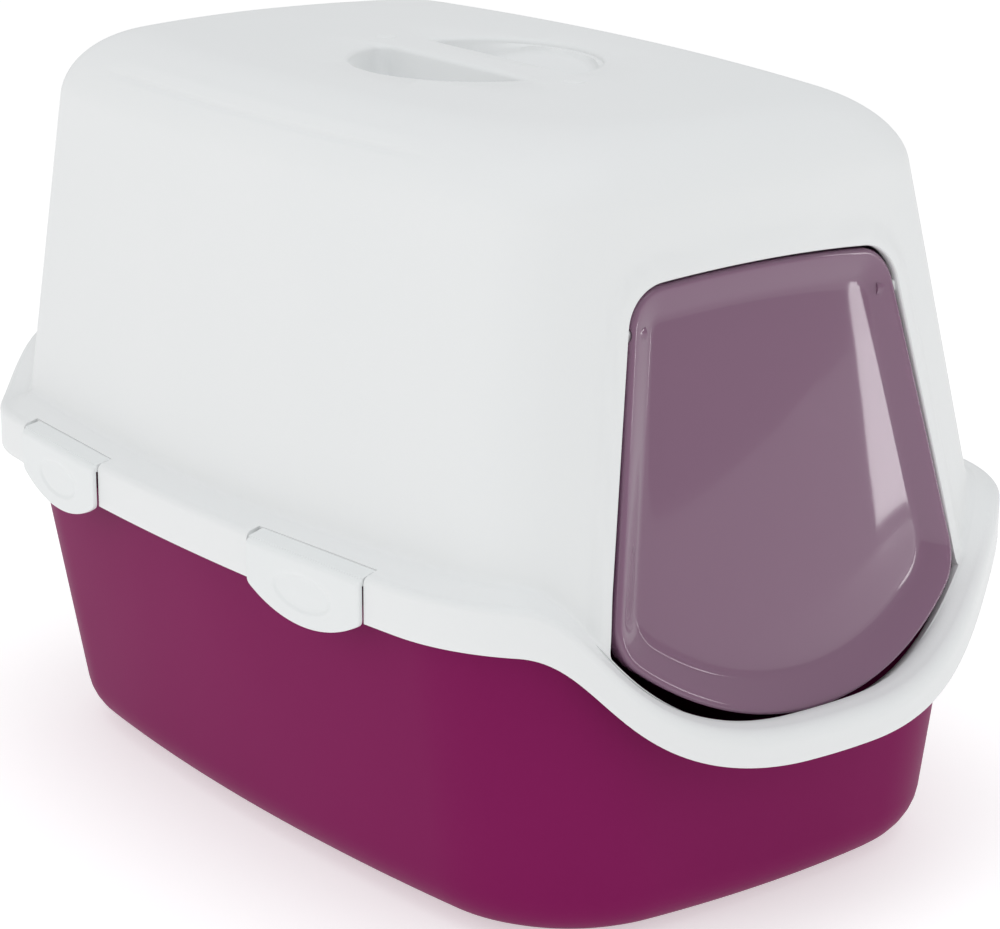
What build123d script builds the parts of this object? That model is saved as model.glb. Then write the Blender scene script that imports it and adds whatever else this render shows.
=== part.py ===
"""Hooded cat litter box: tray, lift-off hood, swinging flap and four side latches."""

import os
from math import asin, cos, degrees, radians, sin

from build123d import *

# Overall driving sizes. The origin is the middle of the footprint, +Z is up and the door faces -Y.
hood_top_z = 399.0
rim_half_width = 197.0
rim_half_length = 280.0

# Rim heights, each as (along the sides, at the middle of the front dip, on the raised rear).
flange_top = (188.5, 115.0, 228.0)
flange_thickness = 2.5
seat_rib = (10.0, 12.5)
seat_gap = 0.3
skirt_bottom = (164.3, 97.3, 204.0)
skirt_thickness = 3.0
tray_rim_top = (180.0, 106.5, 219.5)
tray_rim_thickness = 2.5
tray_rim_lip = 9.0

# Plan of the rim: bows of the sides, front and rear, then the front and rear corner radii.
rim_bows = (9.7, 21.7, 8.0)
rim_radii = (103.0, 80.0)
rim_setback = 4.0
rim_low_z, rim_high_z = 60.0, 260.0
block_reach = 240.0
clear_above = (500.0, 500.0, 500.0)
dip_flat, dip_shoulder = 21.7, 185.9
rise_flat, rise_shoulder = 51.0, 184.0
dip_fan = 0.00267
rise_fan = 0.0025

# Tray: half width, front and rear of the outer wall at the foot and at the reference height.
tray_wall = 3.0
tray_base_z = 2.0
tray_foot = (157.7, -233.0, 239.0)
tray_mouth = (182.8, -246.8, 262.8)
tray_mouth_z = 165.0
tray_bows = (8.7, 3.7, 5.4)
tray_radii_foot = (86.0, 74.0)
tray_radii_mouth = (93.0, 79.0)
tray_base_radius = 30.0
tray_block_top_z = 250.0
tray_radius_growth = 4.0
foot_radius = 11.0
foot_overlap = 2.4
foot_places = [(-108, -168), (108, -168), (-108, 182), (108, 182)]

# Hood: half width, front and rear of the outer wall at the two reference heights.
hood_wall = 2.5
hood_low = (176.8, -234.9, 249.6)
hood_low_z = 190.0
hood_high = (143.7, -201.6, 247.0)
hood_high_z = 400.0
hood_bows = (13.8, 5.6, 11.8)
hood_radii = (53.5, 24.0)
hood_top_radius = 53.0
hood_top_steps = 7

# Doorway, seen from the front: a straight-sided arch that widens downwards.
door_top_z = 331.0
door_side_top = (90.0, 308.0)
door_side_low = (117.0, 165.0)
door_corner_radius = 24.0
door_crown = 5.0
door_bead = (9.0, 2.5)

# Plan inside the lip under the door, in the same terms as the rim's.
sill_size = (172.0, -257.0, 240.0)
sill_bows = (8.0, 18.0, 6.0)
sill_radii = (60.0, 60.0)

# Flap: its hinge axis runs along X just behind the front wall.
hinge_y, hinge_z = -211.0, 304.5
flap_gap = 2.2
flap_wall = 2.0
flap_top_z = 325.5
flap_bottom_z = 117.5
flap_foot_z = 166.0
flap_bow_radius = 660.0
flap_proud_top, flap_proud_low = 1.0, 11.0
flap_back = 9.0
flap_top_corner, flap_low_corner = 20.0, 14.0
flap_low_edge = 11.0
pin_radius = 2.5
pin_clearance = 0.06
pin_reach = (77.0, 84.5)
lug_size = (11.5, 9.0, 8.0)
sleeve_radius = 4.5
sleeve_reach = (75.0, 84.0)
sleeve_floor, bore_run = 1.5, 20.0
notch_radius = 6.8

# Handle: a bar along Y between two half-moon finger pockets in the top.
bar_half_width = 15.0
bar_depth = 11.0
bar_web = 2.5
pocket_reach = 68.0
pocket_y = (-52.0, 77.0)
pocket_corner = 9.0
pocket_drop = 27.0
dome_places = [(0, 95), (0, -70)]
dome_radius, dome_height = 6.0, 1.0

# Side latches: centres along Y, and the shape of one latch against the rim.
latch_places = [-100.0, 136.0]
latch_width = 88.0
latch_gap = 1.5
latch_tab_z, latch_tip_z, latch_top_z = 164.0, 151.5, 188.2
latch_face = (0.3, 3.0)
latch_edge = 1.0
latch_axis_z = 184.6
latch_axis_inset = 5.0
latch_barrel = 3.0
latch_pin_radius = 2.0
latch_pin_length = 5.0
latch_slot = 10.0
boss_radius, boss_length = 3.8, 8.0
nose_z, nose_width, nose_height, nose_inset = 171.0, 60.0, 3.0, 3.3
thumb_z, thumb_size, thumb_depth = 169.5, (22.0, 10.0), 0.8


def bowed_outline(plane, size, bows, radii):
    """A rectangle in plan whose sides bow outwards and run smoothly into rounded corners."""
    half_width, front, rear = size
    side_bow, end_bows = bows[0], bows[1:]
    corner_y = (front + radii[0] + end_bows[0], rear - radii[1] - end_bows[1])
    middle, half_span = sum(corner_y) / 2, (corner_y[1] - corner_y[0]) / 2
    side_arc = (half_span**2 + side_bow**2) / (2 * side_bow)
    side_turn = degrees(asin(half_span / side_arc))
    with BuildSketch(plane) as outline:
        with BuildLine():
            ends = zip((-1, 1), (front, rear), corner_y, end_bows, radii)
            for way, end_y, centre_y, bow, radius in ends:
                centre_x = half_width - radius - side_bow
                end_arc = (centre_x**2 + bow**2) / (2 * bow)
                end_turn = degrees(asin(centre_x / end_arc))
                corner_turn = 90 - side_turn - end_turn
                CenterArc((0, end_y - way * (end_arc + radius)), end_arc + radius, way * 90, -way * end_turn)
                CenterArc((centre_x, centre_y), radius, way * (90 - end_turn), -way * corner_turn)
                side_centre = (half_width - side_arc - radius, middle)
                CenterArc(side_centre, side_arc + radius, way * side_turn, -way * side_turn)
            mirror(about=Plane.YZ)
        make_face()
    return outline.sketch


def grown(size, amount):
    """The same plan size moved outwards by an amount all round."""
    return size[0] + amount, size[1] - amount, size[2] + amount


def at_height(low, low_z, high, high_z, z):
    """Plan size of a drafted wall at one height, from its sizes at two heights."""
    share = (z - low_z) / (high_z - low_z)
    return tuple(a + (b - a) * share for a, b in zip(low, high))


def drafted_block(sizes, heights, bows, radii):
    """A solid between two bowed outlines, one above the other."""
    with BuildPart() as block:
        loft(
            [
                bowed_outline(Plane.XY.offset(z), size, bows, radii_here)
                for size, z, radii_here in zip(sizes, heights, radii)
            ],
            ruled=True,
        )
    return block.part


def rim_prism(inset):
    """A tall block with the rim's plan, moved inwards by an inset."""
    size = grown((rim_half_width, -rim_half_length, rim_half_length), -inset)
    with BuildPart() as prism:
        with BuildSketch(Plane.XY.offset(rim_low_z)):
            add(bowed_outline(Plane.XY, size, rim_bows, [r - inset for r in rim_radii]))
        extrude(amount=rim_high_z - rim_low_z)
    return prism.part


def wave_profile(plane, end_z, flat, shoulder, side_z, scale):
    """A section across X: level in the middle, an S on each side, level again outside."""
    inner, outer, edge = flat * scale, shoulder * scale, block_reach
    first = (flat + 0.66 * (shoulder - flat)) * scale
    second = (flat + 0.69 * (shoulder - flat)) * scale
    with BuildSketch(plane) as profile:
        with BuildLine():
            Polyline(
                (-outer, side_z), (-edge, side_z), (-edge, 0),
                (edge, 0), (edge, side_z), (outer, side_z),
            )
            Bezier((outer, side_z), (second, side_z), (first, end_z), (inner, end_z))
            Line((inner, end_z), (-inner, end_z))
            Bezier((-inner, end_z), (-first, end_z), (-second, side_z), (-outer, side_z))
        make_face()
    return profile.sketch


def below_rim(levels):
    """Everything under a surface that follows the rim: level, dipped in front, raised behind."""
    side_z, front_z, rear_z = levels
    front_start, front_end = -rim_half_length - 2, -190.0
    rear_start, rear_end = 150.0, rim_half_length + 2
    with BuildPart() as under:
        loft(
            [
                wave_profile(Plane.XZ.offset(-y), front_z, dip_flat, dip_shoulder, side_z,
                             1 - dip_fan * (y + rim_half_length))
                for y in (front_start, front_end)
            ],
            ruled=True,
        )
        with Locations((0, (front_end + rear_start) / 2, side_z / 2)):
            Box(2 * block_reach, rear_start - front_end, side_z)
        loft(
            [
                wave_profile(Plane.XZ.offset(-y), rear_z, rise_flat, rise_shoulder, side_z,
                             1 - rise_fan * (rim_half_length - y))
                for y in (rear_start, rear_end)
            ],
            ruled=True,
        )
    return under.part


def lowered(levels, amount):
    """The same rim levels moved down by an amount."""
    return tuple(level - amount for level in levels)


def tray_block(inset, base_z, base_radius):
    """The tray's drafted outer form, or its hollow when it is inset."""
    mouth_top = tray_block_top_z
    foot = grown(at_height(tray_foot, 0, tray_mouth, tray_mouth_z, base_z), -inset)
    mouth = grown(at_height(tray_foot, 0, tray_mouth, tray_mouth_z, mouth_top), -inset)
    walls = drafted_block(
        (foot, mouth), (base_z, mouth_top), tray_bows,
        ([r - inset for r in tray_radii_foot], [r - inset + tray_radius_growth for r in tray_radii_mouth]),
    )
    with BuildPart() as block:
        add(walls)
        fillet(block.faces().sort_by(Axis.Z)[0].edges(), base_radius)
    return block.part


def hood_block(inset):
    """The hood's outer form, or its hollow when it is inset: drafted walls and a rolled top edge."""
    top_z, roll = hood_top_z - inset, hood_top_radius - inset
    levels = [(rim_low_z, 0.0)]
    for step in range(hood_top_steps + 1):
        turn = radians(90 * step / hood_top_steps)
        levels.append((top_z - roll + roll * sin(turn), roll * (1 - cos(turn))))
    with BuildPart() as block:
        loft(
            [
                bowed_outline(
                    Plane.XY.offset(z),
                    grown(at_height(hood_low, hood_low_z, hood_high, hood_high_z, z), -inset - roll_in),
                    hood_bows,
                    [radius - inset for radius in hood_radii],
                )
                for z, roll_in in levels
            ],
            ruled=True,
        )
    return block.part


def ring_between(outer, inner, upper, lower):
    """A band of the rim: inside one plan, outside another, under one rim surface and over the next."""
    under, cut = below_rim(upper), below_rim(lower)
    with BuildPart() as band:
        add(outer)
        add(inner, mode=Mode.SUBTRACT)
        add(under, mode=Mode.INTERSECT)
        add(cut, mode=Mode.SUBTRACT)
    return band.part


def door_prism(margin, near_y=-300.0, far_y=-150.0, foot_z=80.0):
    """The doorway's outline run along Y, moved outwards by a margin; it is open at the foot."""
    slope = (door_side_low[0] - door_side_top[0]) / (door_side_top[1] - door_side_low[1])
    top_z = door_top_z + margin
    top_half = door_side_top[0] + margin - (top_z - door_crown - door_side_top[1]) * slope
    foot_half = door_side_low[0] + margin + (door_side_low[1] - foot_z) * slope
    with BuildPart() as prism:
        with BuildSketch(Plane.XZ.offset(-near_y)) as outline:
            with BuildLine():
                Polyline((-top_half, top_z - door_crown), (-foot_half, foot_z), (foot_half, foot_z),
                         (top_half, top_z - door_crown))
                ThreePointArc((top_half, top_z - door_crown), (0, top_z), (-top_half, top_z - door_crown))
            make_face()
            fillet(outline.vertices().group_by(Axis.Y)[-1], door_corner_radius + margin)
        extrude(amount=near_y - far_y)
    return prism.part


def sill_prism():
    """The plan inside the lip of the hood under the door."""
    with BuildPart() as prism:
        with BuildSketch(Plane.XY.offset(rim_low_z)):
            add(bowed_outline(Plane.XY, sill_size, sill_bows, sill_radii))
        extrude(amount=rim_high_z - rim_low_z)
    return prism.part


def wall_y(z):
    """Y of the hood's front wall, on the middle plane, at one height."""
    return at_height(hood_low, hood_low_z, hood_high, hood_high_z, z)[1]


def flap_depth(inset):
    """The space between the flap's bowed face and its back edge, over more than its height."""
    reach, beyond = 130.0, 20.0
    sections = []
    ends = ((flap_bottom_z - beyond, flap_proud_low + 1), (flap_top_z + beyond, flap_proud_top - 1))
    for z, proud in ends:
        face_y = wall_y(z) - proud + inset
        edge_y = face_y + reach**2 / (2 * flap_bow_radius)
        back_y = wall_y(z) + flap_back + 2 * inset
        with BuildSketch(Plane.XY.offset(z)) as section:
            with BuildLine():
                ThreePointArc((-reach, edge_y), (0, face_y), (reach, edge_y))
                Polyline(
                    (reach, edge_y), (reach, edge_y + beyond), (-reach, edge_y + beyond), (-reach, edge_y)
                )
            make_face()
            with Locations((0, back_y + reach)):
                Rectangle(3 * reach, 2 * reach, mode=Mode.SUBTRACT)
        sections.append(section.sketch)
    return loft(sections, ruled=True)


def flap_form(inset):
    """The flap's outer form, or its hollow when it is inset: bowed, and prouder towards the foot."""
    slope = (door_side_low[0] - door_side_top[0]) / (door_side_top[1] - door_side_low[1])
    top_z, foot_z, tip_z = flap_top_z - inset, flap_foot_z, flap_bottom_z + inset
    shoulder_z = top_z - door_crown
    gap = flap_gap + inset
    shoulder = door_side_top[0] - gap - (shoulder_z - door_side_top[1]) * slope
    foot = door_side_low[0] - gap - (foot_z - door_side_low[1]) * slope
    depth = flap_depth(inset)
    ahead, run = 300.0, 200.0
    with BuildPart() as form:
        with BuildSketch(Plane.XZ.offset(ahead)) as outline:
            with BuildLine():
                Line((-shoulder, shoulder_z), (-foot, foot_z))
                ThreePointArc((-foot, foot_z), (0, tip_z), (foot, foot_z))
                Line((foot, foot_z), (shoulder, shoulder_z))
                ThreePointArc((shoulder, shoulder_z), (0, top_z), (-shoulder, shoulder_z))
            make_face()
            fillet(outline.vertices().group_by(Axis.Y)[-1], flap_top_corner - inset)
            fillet(outline.vertices().group_by(Axis.Y)[0], flap_low_corner - inset)
        extrude(amount=-run)
        add(depth, mode=Mode.INTERSECT)
        low_edges = form.edges().filter_by_position(Axis.Z, flap_bottom_z - 5, flap_foot_z)
        fillet(low_edges.sort_by(Axis.Y)[0], flap_low_edge - inset)
    return form.part


def side_point(side, y):
    """The point of the rim's side at this Y, and the outward direction there."""
    front_y = -rim_half_length + rim_radii[0] + rim_bows[1]
    rear_y = rim_half_length - rim_radii[1] - rim_bows[2]
    middle, half_span = (front_y + rear_y) / 2, (rear_y - front_y) / 2
    fall = rim_bows[0] * ((y - middle) / half_span) ** 2
    slope = 2 * rim_bows[0] * (y - middle) / half_span**2
    outward = Vector(side, slope, 0).normalized()
    return Vector(side * (rim_half_width - fall), y, 0), outward


def latch_place(side, y):
    """Where a latch hangs on the rim: its x runs along the rim, its y is up and its z faces outwards."""
    point, outward = side_point(side, y)
    return Plane(origin=point, x_dir=(-outward.Y, outward.X, 0), z_dir=outward).location


def hinge_rods(radius, start, length):
    """Two like rods on a latch's hinge line, in the latch's own frame."""
    with BuildPart() as rods:
        with BuildSketch(Plane.YZ.offset(start)):
            with Locations((latch_axis_z, -latch_axis_inset)):
                Circle(radius)
        extrude(amount=length)
        mirror(about=Plane.YZ)
    return rods.part


def half_moon(side, margin, low_z, high_z):
    """One finger pocket's plan, straight against the bar, as a block between two heights."""
    middle_y = sum(pocket_y) / 2
    straight = side * bar_half_width
    with BuildPart() as moon:
        with BuildSketch(Plane.XY.offset(low_z)) as plan:
            with BuildLine():
                Line((straight, pocket_y[0] - margin), (straight, pocket_y[1] + margin))
                ThreePointArc(
                    (straight, pocket_y[0] - margin),
                    (side * (pocket_reach + margin), middle_y),
                    (straight, pocket_y[1] + margin),
                )
            make_face()
            fillet(plan.vertices(), pocket_corner)
        extrude(amount=high_z - low_z)
    return moon.part


def above_ramp(side, drop):
    """Everything over a pocket's floor, which slopes down towards the bar."""
    outer_x, inner_x, over_z, half_run = pocket_reach + 4, 0.0, hood_top_z + 20, 200.0
    level = hood_top_z - hood_wall - drop
    with BuildPart() as ramp:
        with BuildSketch(Plane.XZ.offset(-half_run)):
            with BuildLine():
                Polyline(
                    (side * outer_x, level), (side * inner_x, level - pocket_drop),
                    (side * inner_x, over_z), (side * outer_x, over_z), close=True,
                )
            make_face()
        extrude(amount=2 * half_run)
    return ramp.part


# The tray: a drafted pan with a flat rim, a turned-down edge and four low feet.
tray_outside = tray_block(0, tray_base_z, tray_base_radius)
tray_inside = tray_block(tray_wall, tray_base_z + tray_wall, tray_base_radius - tray_wall)
tray_mid_wall = tray_block(tray_wall / 2, tray_base_z, tray_base_radius)
tray_edge = rim_prism(rim_setback)
tray_room = below_rim(tray_rim_top)
tray_flange = ring_between(tray_edge, tray_mid_wall, tray_rim_top, lowered(tray_rim_top, tray_rim_thickness))
tray_turned_edge = ring_between(
    tray_edge, rim_prism(rim_setback + tray_rim_thickness), tray_rim_top, lowered(tray_rim_top, tray_rim_lip)
)
with BuildPart() as tray:
    add(tray_outside)
    add(tray_inside, mode=Mode.SUBTRACT)
    add(tray_room, mode=Mode.INTERSECT)
    add(tray_flange)
    add(tray_turned_edge)
    with BuildSketch(Plane.XY):
        with Locations(*foot_places):
            Circle(foot_radius)
    extrude(amount=tray_base_z + foot_overlap)

# The room that each latch needs in the rim.
slot_half = latch_width / 2 + latch_gap
slot_middle_z, slot_height, slot_ahead = 174.0, 60.0, 10.0
with BuildPart() as latch_slot_block:
    with BuildSketch(Plane.XY.offset(-latch_slot)):
        with Locations((0, slot_middle_z)):
            Rectangle(2 * slot_half, slot_height)
    extrude(amount=latch_slot + slot_ahead)

# The hood: shell, flange, skirt, the rib that stands on the tray's rim, and the bead round the door.
hood_outside, hood_inside = hood_block(0), hood_block(hood_wall)
below_flange = below_rim(lowered(flange_top, flange_thickness))
above_flange_wall = ring_between(hood_block(-door_bead[1]), hood_inside, clear_above, flange_top)
doorway = door_prism(0)
door_frame = above_flange_wall & door_prism(door_bead[0])
flange = ring_between(rim_prism(0), sill_prism(), flange_top, lowered(flange_top, flange_thickness))
skirt = ring_between(rim_prism(0), rim_prism(skirt_thickness), flange_top, skirt_bottom)
rib = ring_between(
    rim_prism(seat_rib[0]), rim_prism(seat_rib[1]),
    lowered(flange_top, flange_thickness / 2), lowered(tray_rim_top, -seat_gap),
)
pocket_low_z = 340.0
pockets = [half_moon(side, 0, pocket_low_z, hood_top_z + 10) & above_ramp(side, 0) for side in (-1, 1)]
pocket_shells = [
    half_moon(side, hood_wall, pocket_low_z, hood_top_z) & above_ramp(side, hood_wall) for side in (-1, 1)
]
latch_spots = [latch_place(side, y) for side in (-1, 1) for y in latch_places]
latch_bosses = hinge_rods(boss_radius, slot_half, boss_length)
latch_holes = hinge_rods(latch_pin_radius + pin_clearance, slot_half - 1, latch_pin_length + 2)
with BuildPart() as hood:
    add(hood_outside)
    with Locations(*[(x, y, hood_top_z) for x, y in dome_places]):
        Cylinder(dome_radius, 2 * dome_height)
    add(door_frame)
    add(hood_inside, mode=Mode.SUBTRACT)
    add(below_flange, mode=Mode.SUBTRACT)
    add(doorway, mode=Mode.SUBTRACT)
    add(flange)
    add(skirt)
    add(rib)
    for side, shell in zip((-1, 1), pocket_shells):
        add(shell)
        web_x = side * (bar_half_width - bar_web / 2)
        with Locations((web_x, sum(pocket_y) / 2, hood_top_z - bar_depth / 2)):
            Box(bar_web, pocket_y[1] - pocket_y[0], bar_depth)
    for pocket in pockets:
        add(pocket, mode=Mode.SUBTRACT)
    for side in (-1, 1):
        with Locations((side * (pin_reach[1] + lug_size[0] / 2), hinge_y, hinge_z)):
            Box(*lug_size)
        with BuildSketch(Plane.YZ.offset(side * pin_reach[0])):
            with Locations((hinge_y, hinge_z)):
                Circle(pin_radius)
        extrude(amount=side * (pin_reach[1] - pin_reach[0] + 1))
    for place in latch_spots:
        add(latch_slot_block.part.moved(place), mode=Mode.SUBTRACT)
        add(latch_bosses.moved(place))
        add(latch_holes.moved(place), mode=Mode.SUBTRACT)

# The flap: a thin clear dish with a sleeve for each pin.
flap_outside, flap_inside = flap_form(0), flap_form(flap_wall)
with BuildPart() as flap:
    add(flap_outside)
    add(flap_inside, mode=Mode.SUBTRACT)
    for side in (-1, 1):
        with BuildSketch(Plane.YZ.offset(side * sleeve_reach[0])):
            with Locations((hinge_y, hinge_z)):
                Circle(sleeve_radius)
        extrude(amount=side * (sleeve_reach[1] - sleeve_reach[0]))
        bores = (
            (sleeve_reach[0] + sleeve_floor, pin_radius + pin_clearance),
            (sleeve_reach[1], notch_radius),
        )
        for start, radius in bores:
            with BuildSketch(Plane.YZ.offset(side * start)):
                with Locations((hinge_y, hinge_z)):
                    Circle(radius)
            extrude(amount=side * bore_run, mode=Mode.SUBTRACT)

# One side latch, in its own frame: a D-shaped plate on a barrel, two hinge pins and a nose behind.
with BuildPart() as latch:
    with BuildSketch(Plane.XY.offset(latch_face[0])) as plate:
        with BuildLine():
            half = latch_width / 2
            Polyline((-half, latch_tab_z), (-half, latch_top_z), (half, latch_top_z), (half, latch_tab_z))
            ThreePointArc((half, latch_tab_z), (0, latch_tip_z), (-half, latch_tab_z))
        make_face()
    extrude(amount=latch_face[1] - latch_face[0])
    fillet(latch.faces().sort_by(Axis.Z)[-1].edges(), latch_edge)
    with BuildSketch(Plane.XY.offset(-latch_axis_inset)):
        with Locations((0, latch_axis_z)):
            Rectangle(latch_width, 2 * latch_barrel - 2)
    extrude(amount=latch_axis_inset + 1)
    add(hinge_rods(latch_barrel, 0, latch_width / 2))
    add(hinge_rods(latch_pin_radius, latch_width / 2 - 1, latch_gap + latch_pin_length + 1))
    with BuildSketch(Plane.XY.offset(-nose_inset)):
        with Locations((0, nose_z)):
            Rectangle(nose_width, nose_height)
    extrude(amount=nose_inset + 1)
    with BuildSketch(Plane.XY.offset(latch_face[1] - thumb_depth)):
        with Locations((0, thumb_z)):
            Ellipse(*thumb_size)
    extrude(amount=thumb_depth + 1, mode=Mode.SUBTRACT)

pieces = {"tray": tray.part, "hood": hood.part, "flap": flap.part}
for side, side_name in ((-1, "left"), (1, "right")):
    for y, end_name in zip(latch_places, ("front", "rear")):
        pieces[f"latch_{end_name}_{side_name}"] = latch.part.moved(latch_place(side, y))

os.makedirs("parts", exist_ok=True)
for name, piece in pieces.items():
    piece.label = name
    print(name, piece.volume, piece.is_valid, len(piece.solids()))
    export_step(piece, f"parts/{name}.step")
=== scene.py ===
"""A hooded cat litter box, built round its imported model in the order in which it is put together."""

from math import atan2, cos, hypot, pi, radians, sin, sqrt

import bmesh
import bpy
import numpy as np
from mathutils import Matrix, Vector


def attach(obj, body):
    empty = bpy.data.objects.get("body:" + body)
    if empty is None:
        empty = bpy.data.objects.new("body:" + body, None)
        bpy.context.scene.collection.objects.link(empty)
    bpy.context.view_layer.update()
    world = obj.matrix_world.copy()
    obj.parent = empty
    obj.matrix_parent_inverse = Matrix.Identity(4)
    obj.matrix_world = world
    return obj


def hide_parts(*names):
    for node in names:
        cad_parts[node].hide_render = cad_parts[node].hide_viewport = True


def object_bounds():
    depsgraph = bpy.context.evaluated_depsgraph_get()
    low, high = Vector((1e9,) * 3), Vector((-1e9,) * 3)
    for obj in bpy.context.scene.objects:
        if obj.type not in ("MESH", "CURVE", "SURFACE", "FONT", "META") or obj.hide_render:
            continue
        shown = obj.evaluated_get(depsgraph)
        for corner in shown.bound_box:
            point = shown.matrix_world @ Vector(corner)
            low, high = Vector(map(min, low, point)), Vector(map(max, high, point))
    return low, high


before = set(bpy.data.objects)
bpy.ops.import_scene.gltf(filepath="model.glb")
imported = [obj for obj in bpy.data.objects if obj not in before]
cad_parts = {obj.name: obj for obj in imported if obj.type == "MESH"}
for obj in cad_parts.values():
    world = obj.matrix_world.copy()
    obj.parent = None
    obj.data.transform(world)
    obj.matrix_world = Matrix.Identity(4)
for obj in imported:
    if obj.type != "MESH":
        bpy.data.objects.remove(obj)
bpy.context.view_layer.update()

# Tray: one deep pan, injection moulded in solid-dyed polypropylene. Its walls lean outwards so that it
# leaves the mould and stacks, a flat rim with a turned-down edge runs round the mouth, and four low
# round feet carry it.
MM = 0.001
RIM_SIZE = (197.0, -280.0, 280.0)
RIM_BOWS, RIM_RADII = (9.7, 21.7, 8.0), (103.0, 80.0)
DIP_FLAT, DIP_SHOULDER, DIP_FAN, DIP_END = 21.7, 185.9, 0.00267, -150.0
RISE_FLAT, RISE_SHOULDER, RISE_FAN, RISE_START = 80.0, 190.0, 0.0025, 150.0
TRAY_RIM_LEVELS = (180.0, 106.5, 219.5)
TRAY_FOOT, TRAY_MOUTH, TRAY_MOUTH_Z = (158.7, -235.0, 239.0), (181.8, -245.6, 261.8), 165.0
TRAY_BOWS, TRAY_RADII_FOOT, TRAY_RADII_TOP, TRAY_TOP_Z = (8.7, 3.7, 5.4), (86.0, 74.0), (97.0, 83.0), 250.0
TRAY_WALL, TRAY_BASE_Z, TRAY_BASE_ROUND = 3.0, 2.0, 24.0
TRAY_RIM_INSET, TRAY_RIM_THICKNESS, TRAY_LIP, TRAY_MOUTH_ROUND = 4.0, 2.5, 9.0, 1.5
FOOT_RADIUS, FOOT_HEIGHT, FOOT_EDGE = 11.0, 4.0, 0.8
FOOT_PLACES = ((-108, -168), (108, -168), (-108, 182), (108, 182))
COLUMNS = (36, 30, 50, 50, 24, 26)


def linear(colour):
    """An sRGB hex colour as linear red, green, blue and full opacity."""
    parts = [int(colour[i:i + 2], 16) / 255 for i in (1, 3, 5)]
    return (*[p / 12.92 if p <= 0.04045 else ((p + 0.055) / 1.055) ** 2.4 for p in parts], 1.0)


def node(tree, kind, values=(), links=(), **settings):
    """Adds a node with its settings, its sockets' values and the links into it."""
    made = tree.nodes.new(kind)
    for name, value in settings.items():
        setattr(made, name, value)
    for socket, value in dict(values).items():
        made.inputs[socket].default_value = value
    for socket, source in dict(links).items():
        tree.links.new(source, made.inputs[socket])
    return made


def column_places():
    """Each column's side of the plan, end, part of the outline and share of that part."""
    half = []
    for part, count in enumerate(COLUMNS):
        half += [(part, step / count) for step in range(count)]
    half.append((len(COLUMNS) - 1, 1.0))
    back = [(1, *place) for place in half] + [(-1, *place) for place in half[-2:0:-1]]
    return np.array(back, float)


PLACES = column_places()


def plan(size, bows, radii):
    """Points round a bowed outline, one for each column: its sides, ends and corners are arcs
    that run into each other."""
    half_width, front, rear = (np.broadcast_to(np.asarray(v, float), (len(PLACES),)) for v in size)
    radii = [np.broadcast_to(np.asarray(r, float), (len(PLACES),)) for r in radii]
    side, part, share = PLACES.T
    corner_y = (front + radii[0] + bows[1], rear - radii[1] - bows[2])
    middle, half_span = (corner_y[0] + corner_y[1]) / 2, (corner_y[1] - corner_y[0]) / 2
    side_arc = (half_span**2 + bows[0]**2) / (2 * bows[0])
    side_turn = np.arcsin(half_span / side_arc)
    x, y = np.zeros(len(PLACES)), np.zeros(len(PLACES))
    for way, end_y, centre_y, bow, radius in zip((-1, 1), (front, rear), corner_y, bows[1:], radii):
        centre_x = half_width - radius - bows[0]
        end_arc = (centre_x**2 + bow**2) / (2 * bow)
        end_turn = np.arcsin(centre_x / end_arc)
        order = (0, 1, 2) if way < 0 else (5, 4, 3)
        along = share if way < 0 else 1 - share
        side_start = pi / 2 - side_turn
        turns = ((0.0, end_turn), (end_turn, side_start), (side_start, pi / 2))
        arcs = (
            (0.0, end_y - way * (end_arc + radius), end_arc + radius),
            (centre_x, centre_y, radius),
            (half_width - side_arc - radius, middle, side_arc + radius),
        )
        for which, (start, stop), (arc_x, arc_y, arc_radius) in zip(order, turns, arcs):
            turn = start + (stop - start) * along
            here = part == which
            x = np.where(here, arc_x + arc_radius * np.sin(turn), x)
            y = np.where(here, arc_y + way * arc_radius * np.cos(turn), y)
    return np.stack((side * x, y), axis=1)


def grown(size, amount):
    """A plan size moved outwards all round."""
    return size[0] + amount, size[1] - amount, size[2] + amount


def at_height(low, low_z, high, high_z, z):
    """A drafted wall's plan size at one height or at many."""
    share = (np.asarray(z, float) - low_z) / (high_z - low_z)
    return tuple(a + (b - a) * share for a, b in zip(low, high))


def s_share(x, flat, shoulder):
    """The share, 0 to 1, of an S that leaves one level at flat and reaches the next at shoulder."""
    t = np.linspace(0, 1, 301)
    first, second = flat + 0.66 * (shoulder - flat), flat + 0.69 * (shoulder - flat)
    at = flat * (1 - t)**3 + 3 * first * t * (1 - t)**2 + 3 * second * t**2 * (1 - t) + shoulder * t**3
    return np.interp(x, at, 3 * t**2 - 2 * t**3)


def dip_share(points):
    """1 at the bottom of the dip under the door, 0 along the sides and behind."""
    x, y = np.abs(points[:, 0]), points[:, 1]
    scale = 1 - DIP_FAN * (y - RIM_SIZE[1])
    return np.where(y < DIP_END, 1 - s_share(x / scale, DIP_FLAT, DIP_SHOULDER), 0.0)


def rise_share(points):
    """1 on the raised rear of the rim, 0 elsewhere."""
    x, y = np.abs(points[:, 0]), points[:, 1]
    scale = 1 - RISE_FAN * (RIM_SIZE[2] - y)
    return np.where(y > RISE_START, 1 - s_share(x / scale, RISE_FLAT, RISE_SHOULDER), 0.0)


def wave(points, levels):
    """Height of the rim's surface over each point: level, dipped in front and raised behind."""
    side_z, front_z, rear_z = levels
    return side_z + (front_z - side_z) * dip_share(points) + (rear_z - side_z) * rise_share(points)


def raised(points, z):
    """Plan points with a height each."""
    return np.column_stack((points, np.broadcast_to(z, (len(points),))))


def towards(ring, centre, shares):
    """Rings that shrink from one ring towards a centre, the last of them a point."""
    return [ring + (np.asarray(centre, float) - ring) * share for share in shares]


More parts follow.
